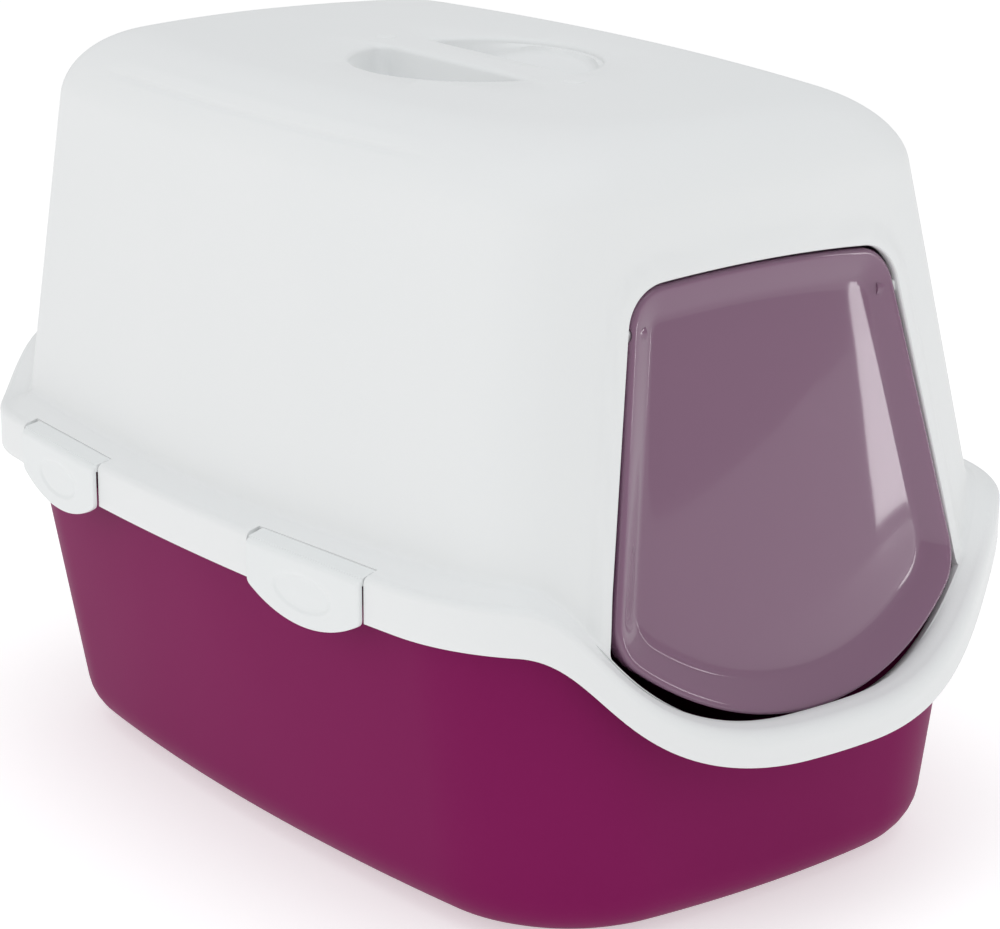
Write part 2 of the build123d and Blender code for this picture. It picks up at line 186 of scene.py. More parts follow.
def ringed(name, rings):
    """A skin over a row of closed rings: a grid is added, its points are put in place, its seams merged."""
    rings = np.array(rings, float)
    rows, count = rings.shape[:2]
    bpy.ops.object.select_all(action="DESELECT")
    bpy.ops.mesh.primitive_grid_add(x_subdivisions=count, y_subdivisions=rows - 1, size=2)
    skin = bpy.context.object
    skin.name = skin.data.name = name
    where = np.empty(len(skin.data.vertices) * 3)
    skin.data.vertices.foreach_get("co", where)
    where = where.reshape(-1, 3)
    column = np.rint((where[:, 0] + 1) / 2 * count).astype(int) % count
    row = np.rint((where[:, 1] + 1) / 2 * (rows - 1)).astype(int)
    skin.data.vertices.foreach_set("co", (rings[row, column] * MM).ravel())
    bpy.ops.object.mode_set(mode="EDIT")
    bpy.ops.mesh.select_all(action="SELECT")
    bpy.ops.mesh.remove_doubles(threshold=0.00002)
    bpy.ops.mesh.normals_make_consistent(inside=False)
    bpy.ops.object.mode_set(mode="OBJECT")
    return skin


def carve(piece, tools, operation):
    """Cuts, joins or keeps what the tools share with a piece, and takes the tools away."""
    for tool in tools:
        cut = piece.modifiers.new("carve", "BOOLEAN")
        cut.operation, cut.solver, cut.object = operation, "EXACT", tool
        bpy.ops.object.select_all(action="DESELECT")
        bpy.context.view_layer.objects.active = piece
        piece.select_set(True)
        bpy.ops.object.modifier_apply(modifier=cut.name)
        bpy.data.objects.remove(tool)


def softened(piece, angle):
    """Shades a piece smooth except over edges sharper than an angle in degrees."""
    bpy.ops.object.select_all(action="DESELECT")
    bpy.context.view_layer.objects.active = piece
    piece.select_set(True)
    bpy.ops.object.shade_smooth_by_angle(angle=radians(angle))


def tray_ring(z, inset):
    """The tray's wall at one height or at a height for each column, moved inwards by an inset."""
    share = (np.asarray(z, float) - TRAY_BASE_Z) / (TRAY_TOP_Z - TRAY_BASE_Z)
    radii = [a + (b - a) * share - inset for a, b in zip(TRAY_RADII_FOOT, TRAY_RADII_TOP)]
    size = grown(at_height(TRAY_FOOT, 0, TRAY_MOUTH, TRAY_MOUTH_Z, z), -inset)
    return raised(plan(size, TRAY_BOWS, radii), z)


def tray_skin(inset, low_z, top_drop, rows):
    """Rings of the tray's wall from the middle of its base to just under its rim."""
    base_round = TRAY_BASE_ROUND - inset
    turns = np.radians(np.linspace(0, 90, 9))
    rings = [tray_ring(low_z + base_round * (1 - cos(t)), inset + base_round * (1 - sin(t))) for t in turns]
    top_z = np.full(len(PLACES), TRAY_RIM_LEVELS[0])
    for _ in range(4):
        top_z = wave(tray_ring(top_z, inset)[:, :2], TRAY_RIM_LEVELS) - top_drop
    start_z = low_z + base_round
    for share in np.linspace(0, 1, rows)[1:]:
        rings.append(tray_ring(start_z + (top_z - start_z) * share, inset))
    return towards(rings[0], (0, 0, low_z), (1, 0.75, 0.5, 0.3, 0.15, 0.05)) + rings


def rim_ring(inset, levels, drop):
    """A ring of the rim, moved inwards by an inset and down from the rim's surface."""
    points = plan(grown(RIM_SIZE, -inset), RIM_BOWS, [r - inset for r in RIM_RADII])
    return raised(points, wave(points, levels) - drop)


outer_skin = tray_skin(0, TRAY_BASE_Z, TRAY_RIM_THICKNESS, 36)
inner_skin = tray_skin(TRAY_WALL, TRAY_BASE_Z + TRAY_WALL, TRAY_MOUTH_ROUND, 24)
rim_in = TRAY_RIM_INSET + TRAY_RIM_THICKNESS
rim_profile = [
    (rim_in + 0.6, TRAY_RIM_THICKNESS), (rim_in, TRAY_RIM_THICKNESS + 0.6), (rim_in, TRAY_LIP - 0.5),
    (rim_in - 0.5, TRAY_LIP), (TRAY_RIM_INSET + 0.5, TRAY_LIP), (TRAY_RIM_INSET, TRAY_LIP - 0.5),
    (TRAY_RIM_INSET, 2.0), (TRAY_RIM_INSET + 0.27, 1.0), (TRAY_RIM_INSET + 1.0, 0.27),
    (TRAY_RIM_INSET + 2.0, 0),
]
over_rim = [rim_ring(inset, TRAY_RIM_LEVELS, drop) for inset, drop in rim_profile]
mouth_edge = []
for out, drop in ((1.5, 0.0), (0.75, 0.2), (0.2, 0.75)):
    ring = tray_ring(inner_skin[-1][:, 2] + TRAY_MOUTH_ROUND, TRAY_WALL - out)
    mouth_edge.append(raised(ring[:, :2], wave(ring[:, :2], TRAY_RIM_LEVELS) - drop))
tray = ringed("tray_pan", outer_skin + over_rim + mouth_edge + inner_skin[::-1])

feet = []
for x, y in FOOT_PLACES:
    bpy.ops.object.select_all(action="DESELECT")
    bpy.ops.mesh.primitive_cylinder_add(
        vertices=48, radius=FOOT_RADIUS * MM, depth=FOOT_HEIGHT * MM,
        location=(x * MM, y * MM, FOOT_HEIGHT / 2 * MM),
    )
    foot = bpy.context.object
    bpy.ops.object.transform_apply(location=True)
    bpy.ops.object.mode_set(mode="EDIT")
    bpy.ops.mesh.select_all(action="DESELECT")
    shape = bmesh.from_edit_mesh(foot.data)
    for edge in shape.edges:
        edge.select = all(v.co.z < FOOT_HEIGHT / 2 * MM for v in edge.verts)
    bmesh.update_edit_mesh(foot.data)
    bpy.ops.mesh.bevel(offset=FOOT_EDGE * MM, segments=3)
    bpy.ops.object.mode_set(mode="OBJECT")
    feet.append(foot)
carve(tray, feet, "UNION")
softened(tray, 32)
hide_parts("tray")
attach(tray, "tray")


MIX_A, MIX_B, MIX_OUT = 6, 7, 2
DRIFT_SIZE, GRAIN_HEIGHT, POLYPROPYLENE_IOR = 0.12, 0.1 * MM, 1.49


def moulded_polypropylene(name, colour, shade, roughness, grain_mm, grain_bump, gloss_level):
    """Injection-moulded polypropylene: a satin skin whose fine even grain comes from the etched mould,
    with very slight colour and gloss drift where the melt cooled unevenly. The grain is drawn coarser
    than the real 0.1 to 0.2 mm etch, which is too fine to show."""
    made = bpy.data.materials.new(name)
    made.use_nodes = True
    tree = made.node_tree
    shader = tree.nodes["Principled BSDF"]
    shader.inputs["IOR"].default_value = POLYPROPYLENE_IOR
    shader.inputs["Specular IOR Level"].default_value = gloss_level
    place = node(tree, "ShaderNodeTexCoord").outputs["Object"]
    drift = node(
        tree, "ShaderNodeTexNoise", {"Scale": 1 / DRIFT_SIZE, "Detail": 3.0, "Roughness": 0.5},
        {"Vector": place},
    )
    tint = node(
        tree, "ShaderNodeMix", {MIX_A: linear(colour), MIX_B: linear(shade)}, {0: drift.outputs["Fac"]},
        data_type="RGBA",
    )
    tree.links.new(tint.outputs[MIX_OUT], shader.inputs["Base Color"])
    grain = node(
        tree, "ShaderNodeTexNoise", {"Scale": 1 / (grain_mm * MM), "Detail": 2.0, "Roughness": 0.6},
        {"Vector": place},
    )
    gloss = node(
        tree, "ShaderNodeMapRange", {"To Min": roughness - 0.04, "To Max": roughness + 0.05},
        {"Value": drift.outputs["Fac"]},
    )
    tree.links.new(gloss.outputs["Result"], shader.inputs["Roughness"])
    bump = node(
        tree, "ShaderNodeBump", {"Strength": grain_bump, "Distance": GRAIN_HEIGHT},
        {"Height": grain.outputs["Fac"]},
    )
    tree.links.new(bump.outputs["Normal"], shader.inputs["Normal"])
    return made


berry = moulded_polypropylene("berry_polypropylene_moulded", "#7F1956", "#7A1852", 0.45, 1.1, 0.35, 0.05)
tray.data.materials.append(berry)


# Hood: one large moulding in white polypropylene. Its drafted walls roll over into a flat roof with a sunk
# carrying handle, and run out at the foot into a sloping flange with a turned-down skirt, which dips to a
# round lip under the door and rises behind. It drops over the tray's rim and lifts straight off.
FLANGE_LEVELS, FLANGE_THICKNESS = (188.5, 115.0, 228.0), 2.8
SKIRT_LEVELS, SKIRT_THICKNESS = (164.3, 97.3, 204.0), 3.0
HOOD_LOW, HOOD_LOW_Z, HOOD_HIGH, HOOD_HIGH_Z = (176.8, -238.1, 250.4), 190.0, (144.4, -204.8, 250.0), 400.0
HOOD_BOWS, HOOD_RADII, HOOD_WALL = (13.8, 5.6, 11.8), (58.0, 24.0), 2.5
ROOF_Z, ROLL, ROOF_FALL = 399.0, 38.0, 0.012
FLANGE_SLOPE, EDGE_ROUND, LIP_ROUND, FOOT_BLEND = 0.25, 4.0, 8.0, 4.0
LIP_CROWN, LIP_CROWN_AT, LIP_FALL = 1.3, 12.5, 0.035
STEP_FRONT, STEP_REAR = (-140.0, -85.0), (150.0, 200.0)
DOOR_TOP_Z, DOOR_CROWN, DOOR_CORNER, DOOR_FOOT_Z = 331.0, 5.0, 24.0, 70.0
DOOR_SIDE_TOP, DOOR_SIDE_LOW = (87.0, 308.0), (114.0, 165.0)
DOOR_SLOPE = (DOOR_SIDE_LOW[0] - DOOR_SIDE_TOP[0]) / (DOOR_SIDE_TOP[1] - DOOR_SIDE_LOW[1])
BEAD_FLAT, BEAD_FOOT, BEAD_PROUD = 6.0, 10.5, 2.5
DOOR_EDGE_ROUND, LIP_EDGE_ROUND, DOOR_EDGE_FADE = 1.4, 2.0, (165.0, 190.0)
CUT_BEHIND, CUT_AHEAD, CUT_UNDER, CUT_OVER, CUT_MIDDLE = -150.0, -300.0, 60.0, 420.0, 200.0
ROOF_MIDDLE = (0.0, 22.0)
SILL_SIZE, SILL_BOWS, SILL_RADII = (172.0, -254.5, 240.0), (8.0, 18.0, 6.0), (60.0, 60.0)


def smooth(value, low, high):
    """0 below low, 1 above high and an even S between."""
    t = np.clip((np.asarray(value, float) - low) / (high - low), 0, 1)
    return t * t * (3 - 2 * t)


def hood_plan(z, inset=0.0, roll_in=0.0):
    """The hood's wall at one height or many, moved inwards by an inset or by the roll of its top edge."""
    size = grown(at_height(HOOD_LOW, HOOD_LOW_Z, HOOD_HIGH, HOOD_HIGH_Z, z), -inset - roll_in)
    return plan(size, HOOD_BOWS, [r - inset for r in HOOD_RADII])


def rim_plan(inset):
    """The rim's plan moved inwards by an inset, which may differ from column to column."""
    return plan(grown(RIM_SIZE, -inset), RIM_BOWS, [r - inset for r in RIM_RADII])


rim_edge = rim_plan(0.0)
column_dip = dip_share(rim_edge)


def flange_rise(inset, dip):
    """Height of the flange's top over its edge's level: a slope along the sides, a crown on the lip."""
    slope = FLANGE_SLOPE * np.maximum(inset - EDGE_ROUND, 0)
    crown = LIP_CROWN - LIP_FALL * (inset - LIP_CROWN_AT)**2
    return (1 - dip) * slope + dip * crown


def flange_top(points):
    """Height of the flange's top face over plan points."""
    gap = np.sqrt(((points - rim_edge)**2).sum(axis=1))
    return wave(points, FLANGE_LEVELS) + flange_rise(gap, column_dip)


def wall_foot(inset, flare):
    """Where the hood's wall stands on the flange."""
    z = np.full(len(PLACES), HOOD_LOW_Z)
    for _ in range(5):
        z = flange_top(hood_plan(z, inset - flare))
    return z


def crown_centre():
    """Centre and radius of the shallow arc over the door."""
    half = DOOR_SIDE_TOP[0] - (DOOR_TOP_Z - DOOR_CROWN - DOOR_SIDE_TOP[1]) * DOOR_SLOPE
    radius = (half**2 + DOOR_CROWN**2) / (2 * DOOR_CROWN)
    return np.array((0.0, DOOR_TOP_Z - radius)), radius


ARCH_CENTRE, ARCH_RADIUS = crown_centre()
SIDE_NORMAL = np.array((1.0, DOOR_SLOPE)) / hypot(1, DOOR_SLOPE)
SIDE_UP = np.array((-SIDE_NORMAL[1], SIDE_NORMAL[0]))


def corner_centre():
    """Centre of the round between the door's side and its arch."""
    start = np.array(DOOR_SIDE_TOP) - DOOR_CORNER * SIDE_NORMAL - ARCH_CENTRE
    b, c = start @ SIDE_UP, start @ start - (ARCH_RADIUS - DOOR_CORNER)**2
    return start + ARCH_CENTRE + (sqrt(b * b - c) - b) * SIDE_UP


CORNER = corner_centre()
ARCH_WAY = (CORNER - ARCH_CENTRE) / np.linalg.norm(CORNER - ARCH_CENTRE)


def door_distance(x, z):
    """How far points of the front lie outside the doorway's outline; negative inside it."""
    point = np.stack((np.abs(x), z), axis=-1)
    side = (point - np.array(DOOR_SIDE_TOP)) @ SIDE_NORMAL
    arch = np.linalg.norm(point - ARCH_CENTRE, axis=-1) - ARCH_RADIUS
    corner = np.linalg.norm(point - CORNER, axis=-1) - DOOR_CORNER
    from_corner = point - CORNER
    between = (from_corner @ SIDE_UP > 0) & (from_corner @ np.array((ARCH_WAY[1], -ARCH_WAY[0])) > 0)
    return np.where(between, corner, np.maximum(side, arch))


def door_outline(margin):
    """The doorway's outline from its right foot over the arch to its left foot, moved out by a margin."""
    radius = DOOR_CORNER + margin
    top_of_side = CORNER + radius * SIDE_NORMAL
    foot = top_of_side - SIDE_UP * (top_of_side[1] - DOOR_FOOT_Z) / SIDE_UP[1]
    side = [foot + (top_of_side - foot) * share for share in np.linspace(0, 1, 60)[:-1]]
    start, stop = atan2(SIDE_NORMAL[1], SIDE_NORMAL[0]), atan2(ARCH_WAY[1], ARCH_WAY[0])
    corner = [CORNER + radius * np.array((cos(a), sin(a))) for a in np.linspace(start, stop, 16)[:-1]]
    over = np.linspace(stop, pi / 2, 26)
    arch = [ARCH_CENTRE + (ARCH_RADIUS + margin) * np.array((cos(a), sin(a))) for a in over]
    half = np.array(side + corner + arch)
    return np.concatenate((half, half[-2::-1] * (-1, 1)))


def beaded(ring):
    """A ring of the hood's wall with the raised frame round the door pushed out of it."""
    ahead = (ring[:, 1] < -150) & (np.abs(ring[:, 0]) < 150)
    lift = BEAD_PROUD * (1 - smooth(door_distance(ring[:, 0], ring[:, 2]), BEAD_FLAT, BEAD_FOOT))
    moved = ring.copy()
    moved[:, 1] -= np.where(ahead, lift, 0)
    return moved


def front_y(x, z):
    """Y of the front wall's outer face, with the door's frame on it."""
    size = at_height(HOOD_LOW, HOOD_LOW_Z, HOOD_HIGH, HOOD_HIGH_Z, z)
    middle_x = size[0] - HOOD_RADII[0] - HOOD_BOWS[0]
    radius = (middle_x**2 + HOOD_BOWS[1]**2) / (2 * HOOD_BOWS[1]) + HOOD_RADII[0]
    lift = BEAD_PROUD * (1 - smooth(door_distance(x, z), BEAD_FLAT, BEAD_FOOT))
    return size[1] + radius - np.sqrt(radius**2 - x**2) - lift


def step_swell(turn, y):
    """How far the roof's long edges stand out of a plain roll: a soft step that fades at both ends."""
    along = smooth(y, *STEP_FRONT) * (1 - smooth(y, *STEP_REAR))
    return along * (0.7 * np.exp(-((turn - 46) / 6.0)**2) - np.exp(-((turn - 33) / 2.5)**2))


def roll_ring(turn, inset):
    """A ring of the hood's rolled top edge at an angle from the wall."""
    roll, top = ROLL - inset, ROOF_Z - inset
    swell = step_swell(turn, hood_plan(top - roll, inset)[:, 1]) if inset == 0 else np.zeros(len(PLACES))
    z = top - roll + (roll + swell) * sin(radians(turn))
    roll_in = roll - (roll + swell) * cos(radians(turn))
    return raised(hood_plan(z, inset, roll_in), z)


def rim_row(inset, z):
    """A ring of the rim at an inset and a height for each column."""
    return raised(rim_plan(inset), z)


# Skirt and flange, from the inside of the skirt up and over the edge to the foot of the wall.
edge_round = EDGE_ROUND + (LIP_ROUND - EDGE_ROUND) * column_dip
hood_rings = []
for inset, up in ((3.0, 0.5), (2.5, 0.0), (0.6, 0.0), (0.15, 0.2), (0.0, 0.6)):
    hood_rings.append(rim_row(inset, wave(rim_plan(inset), SKIRT_LEVELS) + up))
crest = rim_plan(edge_round)
crest_rise = wave(crest, FLANGE_LEVELS) - wave(rim_edge, FLANGE_LEVELS)
crest_rise = crest_rise + flange_rise(edge_round, column_dip)
skirt_top = wave(rim_edge, FLANGE_LEVELS) + crest_rise - edge_round
skirt_low = hood_rings[-1][:, 2]
for share in (0.25, 0.5, 0.75, 1.0):
    hood_rings.append(rim_row(0.0, skirt_low + (skirt_top - skirt_low) * share))
for turn in np.radians((12, 24, 36, 48, 60, 72, 82)):
    hood_rings.append(rim_row(edge_round * (1 - cos(turn)), skirt_top + edge_round * sin(turn)))
foot_z = wall_foot(0.0, FOOT_BLEND)
foot = hood_plan(foot_z, -FOOT_BLEND)
for share in np.linspace(0, 1, 9):
    across = crest + (foot - crest) * share
    hood_rings.append(raised(across, flange_top(across)))
hood_rings[-1][:, 2] = foot_z
for up in (0.3, 1.0, 2.2, 4.0):
    out = FOOT_BLEND - sqrt(FOOT_BLEND**2 - (FOOT_BLEND - up)**2)
    hood_rings.append(beaded(raised(hood_plan(foot_z + up, -out), foot_z + up)))
wall_start, wall_stop = foot_z + FOOT_BLEND, ROOF_Z - ROLL
for share in np.linspace(0, 1, 44)[1:-1]:
    z = wall_start + (wall_stop - wall_start) * share
    hood_rings.append(beaded(raised(hood_plan(z), z)))
for turn in (*np.linspace(0, 24, 8), *np.linspace(25.5, 56, 21), *np.linspace(60, 90, 9)):
    hood_rings.append(roll_ring(turn, 0))
hood_rings += towards(hood_rings[-1], (*ROOF_MIDDLE, ROOF_Z), (0.15, 0.4, 0.7, 1.0))
inner = [roll_ring(turn, HOOD_WALL) for turn in np.linspace(90, 0, 13)]
inner = towards(inner[0], (*ROOF_MIDDLE, ROOF_Z - HOOD_WALL), (1.0, 0.7, 0.4)) + inner
under_z = wall_foot(HOOD_WALL, 0.0) - FLANGE_THICKNESS
for share in np.linspace(0, 1, 16)[1:]:
    z = ROOF_Z - ROLL + (under_z - ROOF_Z + ROLL) * share
    inner.append(raised(hood_plan(z, HOOD_WALL), z))
under_foot = inner[-1][:, :2]
for share in (0.3, 0.6, 0.85):
    across = under_foot + (crest - under_foot) * share
    inner.append(raised(across, flange_top(across) - FLANGE_THICKNESS))
inner.append(rim_row(SKIRT_THICKNESS, skirt_top - 1.0))
hood_rings += inner + [hood_rings[0]]
hood = ringed("hood_shell", hood_rings)

# The doorway is cut through the front wall and down through the flange, inside the line of the lip.
outline = door_outline(0.0)
outwards = door_outline(1.0) - outline
wall_at = front_y(outline[:, 0], outline[:, 1])
soft = DOOR_EDGE_ROUND * smooth(outline[:, 1], *DOOR_EDGE_FADE)
arch_rings = [np.column_stack((outline[:, 0], np.full(len(outline), CUT_BEHIND), outline[:, 1]))]
for turn, more_out, more_ahead in ((0, 0, 0), (30, 0, 0), (60, 0, 0), (60, 7.0, 4.0)):
    out = soft * (1 - cos(radians(turn))) + more_out * soft / DOOR_EDGE_ROUND
    x, z = outline[:, 0] + outwards[:, 0] * out, outline[:, 1] + outwards[:, 1] * out
    y = wall_at + soft * (1 - sin(radians(turn))) - more_ahead
    arch_rings.append(np.column_stack((x, y, z)))
last_x, _, last_z = arch_rings[-1].T
arch_rings.append(np.column_stack((last_x, np.full(len(outline), CUT_AHEAD), last_z)))
arch_back = towards(arch_rings[0], (0, CUT_BEHIND, CUT_MIDDLE), (1.0,))
arch_front = towards(arch_rings[-1], (0, CUT_AHEAD, CUT_MIDDLE), (1.0,))
arch_cutter = ringed("arch_cutter", arch_back + arch_rings + arch_front)
sill_edge = plan(SILL_SIZE, SILL_BOWS, SILL_RADII)
lip_z = flange_top(sill_edge)
sill_rings = [raised(sill_edge, CUT_UNDER)]
for turn, more_out, more_up in ((0, 0, 0), (30, 0, 0), (60, 0, 0), (60, 7.0, 4.0)):
    out = LIP_EDGE_ROUND * (1 - cos(radians(turn))) + more_out
    z = lip_z - LIP_EDGE_ROUND * (1 - sin(radians(turn))) + more_up
    sill_rings.append(raised(plan(grown(SILL_SIZE, out), SILL_BOWS, [r + out for r in SILL_RADII]), z))
sill_rings.append(raised(sill_rings[-1][:, :2], CUT_OVER))
sill_low = towards(sill_rings[0], (0, 0, CUT_UNDER), (1.0,))
sill_rings = sill_low + sill_rings + towards(sill_rings[-1], (0, 0, CUT_OVER), (1.0,))
sill_cutter = ringed("sill_cutter", sill_rings)
carve(arch_cutter, [sill_cutter], "INTERSECT")
carve(hood, [arch_cutter], "DIFFERENCE")


# The carrying handle: a bar left standing between two half-moon pockets, whose floors slope down towards
# it and stop short of it, so that fingers reach under. Two small domes mark its ends.
BAR_HALF, BAR_DEPTH, POCKET_REACH, POCKET_Y, POCKET_DROP = 15.0, 11.0, 68.0, (-48.0, 81.0), 27.0
POCKET_SOFT, POCKET_DRAFT, POCKET_CORNER, POCKET_FILLET = 3.0, 2.5, 9.0, 4.0
REACH_IN, REACH_OUT, REACH_DEPTH, REACH_SHORT = 6.0, 1.2, 22.5, 12.0
DOMES, DOME_RADIUS, DOME_HEIGHT = ((0, 99), (0, -66)), 6.0, 1.0
RAYS = np.linspace(0, 2 * pi, 240, endpoint=False)


def rounded_max(one, other, blend):
    """The larger of two distances, with the corner where they meet rounded over a blend."""
    return np.maximum(one, other) + np.maximum(blend - np.abs(one - other), 0)**2 / (4 * blend)


def outline_by_rays(distance, centre, inset, reach):
    """Points on rays from a centre at which a distance function says that the edge is an inset away."""
    near, far = np.zeros(len(RAYS)), np.full(len(RAYS), reach)
    ways = np.stack((np.cos(RAYS), np.sin(RAYS)), axis=1)
    for _ in range(40):
        half = (near + far) / 2
        points = np.array(centre) + ways * half[:, None]
        outside = distance(points[:, 0], points[:, 1]) > -inset
        near, far = np.where(outside, near, half), np.where(outside, half, far)
    return np.array(centre) + ways * ((near + far) / 2)[:, None]


def pocket_distance(x, y):
    """How far points lie outside a finger pocket's half-moon."""
    half, deep = (POCKET_Y[1] - POCKET_Y[0]) / 2, POCKET_REACH - BAR_HALF
    radius = (half**2 + deep**2) / (2 * deep)
    round_side = np.hypot(x - POCKET_REACH + radius, y - sum(POCKET_Y) / 2) - radius
    return rounded_max(BAR_HALF - x, round_side, POCKET_CORNER)


def pocket_floor(points):
    """Height of a pocket's floor, which slopes down towards the bar."""
    return ROOF_Z - HOOD_WALL - POCKET_DROP * (1 - points[:, 0] / (POCKET_REACH + 4))


def pocket(name, side, grow):
    """A pocket's hollow, or with a growth the body that it is sunk into."""
    centre, rings = (BAR_HALF + 20.0, sum(POCKET_Y) / 2), []
    if grow:
        rings += [(-grow, ROOF_Z - 1.0), (-grow, ROOF_Z - 3.0)]
    else:
        rings += [(-5.2, ROOF_Z + 6), (-5.2, ROOF_Z + 1.0)]
        for turn in (70, 50, 30, 15, 0):
            out = POCKET_SOFT * (1 - cos(radians(turn)))
            rings.append((-out, ROOF_Z - POCKET_SOFT * (1 - sin(radians(turn)))))
    start_z = rings[-1][1]
    skins = []
    for inset, z in rings:
        points = outline_by_rays(pocket_distance, centre, inset, 90)
        skins.append(np.column_stack((points, np.full(len(points), z))))
    for share in (0.33, 0.66, 1.0):
        points = outline_by_rays(pocket_distance, centre, POCKET_DRAFT * share - grow, 90)
        stop = np.minimum(start_z - 0.1, pocket_floor(points) + POCKET_FILLET) - grow
        skins.append(np.column_stack((points, start_z + (stop - start_z) * share)))
    for turn in (30, 60, 90):
        inset = POCKET_DRAFT - grow + POCKET_FILLET * (1 - cos(radians(turn)))
        points = outline_by_rays(pocket_distance, centre, inset, 90)
        z = pocket_floor(points) + POCKET_FILLET * (1 - sin(radians(turn))) - grow
        skins.append(np.column_stack((points, np.minimum(skins[-1][:, 2], z))))
    last = np.array((*centre, 0.0))
    last[2] = pocket_floor(last[None])[0] - grow
    top = towards(skins[0], (*centre, skins[0][0, 2]), (1.0,))
    skins = top + skins + towards(skins[-1], last, (0.35, 0.7, 1.0))
    return ringed(name, [ring * (side, 1, 1) for ring in skins])


def block(name, low_corner, high_corner, soft=0.0, segments=3):
    """A cube added between two corners, with its edges bevelled."""
    low_corner, high_corner = Vector(low_corner) * MM, Vector(high_corner) * MM
    bpy.ops.object.select_all(action="DESELECT")
    bpy.ops.mesh.primitive_cube_add(size=1, location=(low_corner + high_corner) / 2)
    made = bpy.context.object
    made.name, made.scale = name, high_corner - low_corner
    bpy.ops.object.transform_apply(location=True, rotation=True, scale=True)
    if soft:
        bpy.ops.object.mode_set(mode="EDIT")
        bpy.ops.mesh.select_all(action="SELECT")
        bpy.ops.mesh.bevel(offset=soft * MM, segments=segments)
        bpy.ops.object.mode_set(mode="OBJECT")
    return made


def rod(name, start, stop, radius, vertices=48):
    """A round rod between two points."""
    start, stop = Vector(start) * MM, Vector(stop) * MM
    bpy.ops.object.select_all(action="DESELECT")
    turn = (stop - start).to_track_quat("Z", "Y").to_euler()
    bpy.ops.mesh.primitive_cylinder_add(
        vertices=vertices, radius=radius * MM, depth=(stop - start).length, location=(start + stop) / 2,
        rotation=turn,
    )
    made = bpy.context.object
    made.name = name
    bpy.ops.object.transform_apply(location=True, rotation=True, scale=True)
    return made


for side in (-1, 1):
    carve(hood, [pocket("pocket_body", side, HOOD_WALL)], "UNION")
for side in (-1, 1):
    carve(hood, [pocket("pocket_hollow", side, 0.0)], "DIFFERENCE")
    reach_under = block(
        "reach_under", (side * (BAR_HALF - REACH_IN), POCKET_Y[0] + REACH_SHORT, ROOF_Z - REACH_DEPTH),
        (side * (BAR_HALF + REACH_OUT), POCKET_Y[1] - REACH_SHORT, ROOF_Z - BAR_DEPTH),
    )
    carve(hood, [reach_under], "DIFFERENCE")
domes = []
for x, y in DOMES:
    bpy.ops.object.select_all(action="DESELECT")
    bpy.ops.mesh.primitive_uv_sphere_add(
        segments=48, ring_count=24, radius=1, location=(x * MM, y * MM, ROOF_Z * MM)
    )
    dome = bpy.context.object
    dome.scale = Vector((DOME_RADIUS, DOME_RADIUS, DOME_HEIGHT)) * MM
    bpy.ops.object.transform_apply(location=True, rotation=True, scale=True)
    domes.append(dome)
carve(hood, domes, "UNION")

# Door pivots: a lug with a pin at each side of the doorway, moulded with the hood.
HINGE_Y, HINGE_Z, PIN_RADIUS, PIN_REACH = -211.0, 304.5, 2.5, (77.0, 84.0)
LUG, LUG_EDGE, PIN_ROOT = (9.0, 6.5, 6.0), 1.2, 3.0


def cross_rod(name, side, near, far, radius):
    """A rod on the door's hinge line, between two distances from the middle."""
    return rod(name, (side * near, HINGE_Y, HINGE_Z), (side * far, HINGE_Y, HINGE_Z), radius)


pivots = []
for side in (-1, 1):
    near, far = sorted((side * PIN_REACH[1], side * (PIN_REACH[1] + LUG[0])))
    pivots.append(block(
        "lug", (near, HINGE_Y - LUG[1] / 2, HINGE_Z - LUG[2] / 2),
        (far, HINGE_Y + LUG[1] / 2, HINGE_Z + LUG[2] / 2), LUG_EDGE
    ))
    pivots.append(cross_rod("pin", side, PIN_REACH[0], PIN_REACH[1] + PIN_ROOT, PIN_RADIUS))
carve(hood, pivots, "UNION")

# Latch openings: two on each side, cut through the edge of the flange and the skirt. Last of all the roof is
# let down a little towards the front.
LATCH_PLACES, LATCH_WIDTH, FRONT_GAP, REAR_GAP = (-100.0, 136.0), 88.0, 0.6, 3.2
SLOT_DEPTH, SLOT_OUT, SLOT_FOOT_Z, SLOT_TOP_Z = 8.8, 12.0, 140.0, 205.0


def latch_frame(side, y):
    """Where a latch hangs: its x runs along the rim, its y is up and its z faces outwards."""
    start, stop = RIM_SIZE[1] + RIM_RADII[0] + RIM_BOWS[1], RIM_SIZE[2] - RIM_RADII[1] - RIM_BOWS[2]
    middle, half_span = (start + stop) / 2, (stop - start) / 2
    x = side * (RIM_SIZE[0] - RIM_BOWS[0] * ((y - middle) / half_span)**2)
    outward = Vector((side, 2 * RIM_BOWS[0] * (y - middle) / half_span**2, 0)).normalized()
    along = Vector((-outward.y, outward.x, 0))
    turn = Matrix((along, (0, 0, 1), outward)).transposed().to_4x4()
    return Matrix.Translation(Vector((x, y, 0)) * MM) @ turn


slots = []
for side in (-1, 1):
    for y in LATCH_PLACES:
        half = LATCH_WIDTH / 2
        gaps = (FRONT_GAP, REAR_GAP) if side > 0 else (REAR_GAP, FRONT_GAP)
        slot = block(
            "slot", (-half - gaps[0], SLOT_FOOT_Z, -SLOT_DEPTH), (half + gaps[1], SLOT_TOP_Z, SLOT_OUT)
        )
        slot.data.transform(latch_frame(side, y))
        slots.append(slot)
carve(hood, slots, "DIFFERENCE")
for vertex in hood.data.vertices:
    up = (vertex.co.z / MM - ROOF_Z + ROLL) / ROLL
    if up > 0:
        vertex.co.z -= min(up, 1.0) * ROOF_FALL * (HOOD_HIGH[2] * MM - vertex.co.y)
softened(hood, 35)
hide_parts("hood")
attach(hood, "hood")
white = moulded_polypropylene("white_polypropylene_moulded", "#EBECEC", "#E8EAEA", 0.5, 1.0, 0.4, 0.3)
